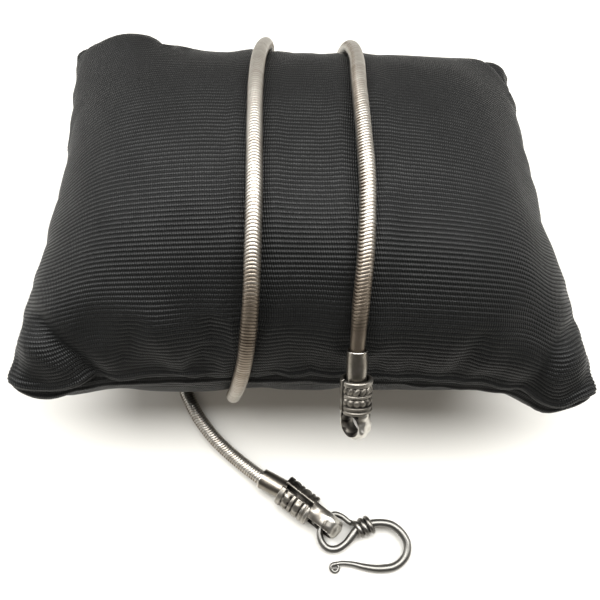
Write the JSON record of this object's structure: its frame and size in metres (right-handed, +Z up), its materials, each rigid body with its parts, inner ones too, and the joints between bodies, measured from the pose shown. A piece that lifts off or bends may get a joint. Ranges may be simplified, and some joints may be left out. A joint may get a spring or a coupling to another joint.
{
  "type": "necklace on a display cushion",
  "caption": "Round snake chain wound twice round a black ribbed cushion, with beaded barrel caps, band eyes and a wire hook with a wound binding.",
  "frame": {"origin": "on the floor, on the cushion's underside, below the middle of the cushion", "axes": "+Z up, +X to the right along the cushion's near edge, -Y towards the hook and the viewer"},
  "size_m": [0.101, 0.1015, 0.0523],
  "materials": {
    "cushion_fabric": "ribbed",
    "chain_silver": "worn satin",
    "ferrule_silver": "worn satin",
    "cap_silver": "worn satin",
    "hook_silver": "polished by wear",
    "binding_silver": "tarnished"
  },
  "bodies": {
    "root": {"cushion": "cushion_fabric", "chain": "chain_silver", "loop_end_ferrule": "ferrule_silver", "loop_end_cap": "cap_silver", "hook_end_ferrule": "ferrule_silver", "hook_end_cap": "cap_silver", "hook": "hook_silver", "hook_binding": "binding_silver"}
  },
  "joints": []
}
